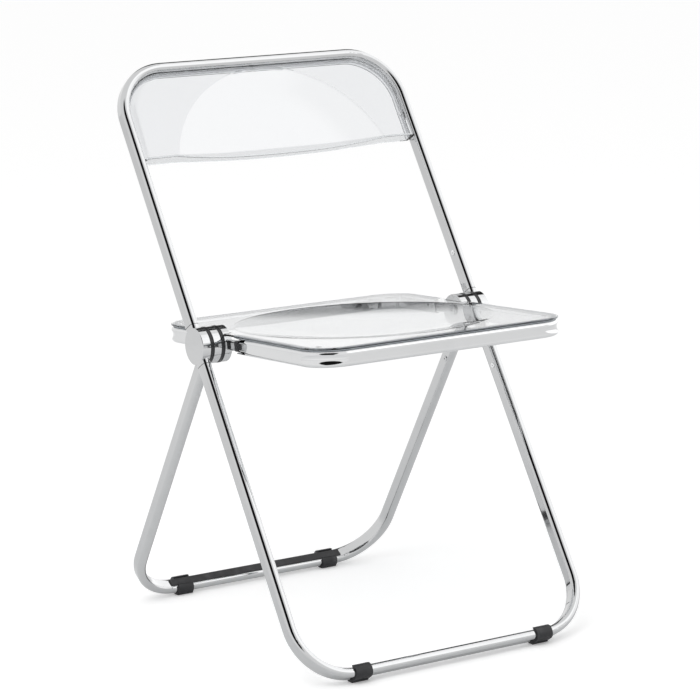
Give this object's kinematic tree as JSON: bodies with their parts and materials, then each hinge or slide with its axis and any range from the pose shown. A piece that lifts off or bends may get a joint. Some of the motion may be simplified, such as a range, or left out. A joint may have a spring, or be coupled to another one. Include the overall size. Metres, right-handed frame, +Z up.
{
  "type": "folding chair",
  "caption": "Folding chair of flat oval chromed tube with a clear dished seat and backrest; legs, seat and back turn on one axis and fold into a flat stack.",
  "frame": {"origin": "on the floor below the hinge axis, midway between the two hinges", "axes": "+X to the right of a viewer who faces the front of the chair, the chair faces -Y, +Z up"},
  "size_m": [0.453, 0.5276, 0.7553],
  "materials": {
    "chrome_tube": "mirror chrome plate",
    "chrome_band": "mirror chrome plate",
    "polished_hub": "polished die casting",
    "steel_pin": "turned steel",
    "plated_fixing": "zinc plate",
    "black_washer": "moulded",
    "black_rubber": "fine texture",
    "grey_gasket": "satin",
    "clear_plastic": "clear polycarbonate, polished mould"
  },
  "bodies": {
    "front_frame": {"back_tube": "chrome_tube", "front_leg_tube": "chrome_tube", "outer_hub_left": "polished_hub", "outer_hub_right": "polished_hub", "pivot_pin_left": "steel_pin", "pivot_pin_right": "steel_pin", "stop_pin_left": "steel_pin", "stop_pin_right": "steel_pin", "outer_washer_left": "black_washer", "outer_washer_right": "black_washer", "inner_washer_left": "black_washer", "inner_washer_right": "black_washer", "frame_rivets": "plated_fixing", "backrest_panel": "clear_plastic", "backrest_screws": "plated_fixing", "front_foot_left": "black_rubber", "front_foot_right": "black_rubber"},
    "rear_legs": {"rear_leg_tube": "chrome_tube", "middle_hub_left": "polished_hub", "middle_hub_right": "polished_hub", "rear_rivets": "plated_fixing", "rear_foot_left": "black_rubber", "rear_foot_right": "black_rubber", "rear_bar_strip": "black_rubber"},
    "seat": {"seat_hub_left": "polished_hub", "seat_hub_right": "polished_hub", "arm_collars_left": "black_washer", "arm_collars_right": "black_washer", "seat_band_front": "chrome_band", "seat_band_rear": "chrome_band", "seat_gasket": "grey_gasket", "seat_pan": "clear_plastic", "pan_screws": "plated_fixing", "arm_screws": "plated_fixing"}
  },
  "joints": [
    {"name": "rear_leg_fold", "type": "hinge", "parent": "front_frame", "child": "rear_legs", "pos_m": [0, 0, 0.405], "axis": [-1, 0, 0], "range_deg": [0, 61.4]},
    {"name": "seat_fold", "type": "hinge", "parent": "front_frame", "child": "seat", "pos_m": [0, 0, 0.405], "axis": [-1, 0, 0], "range_deg": [0, 119.5]}
  ]
}
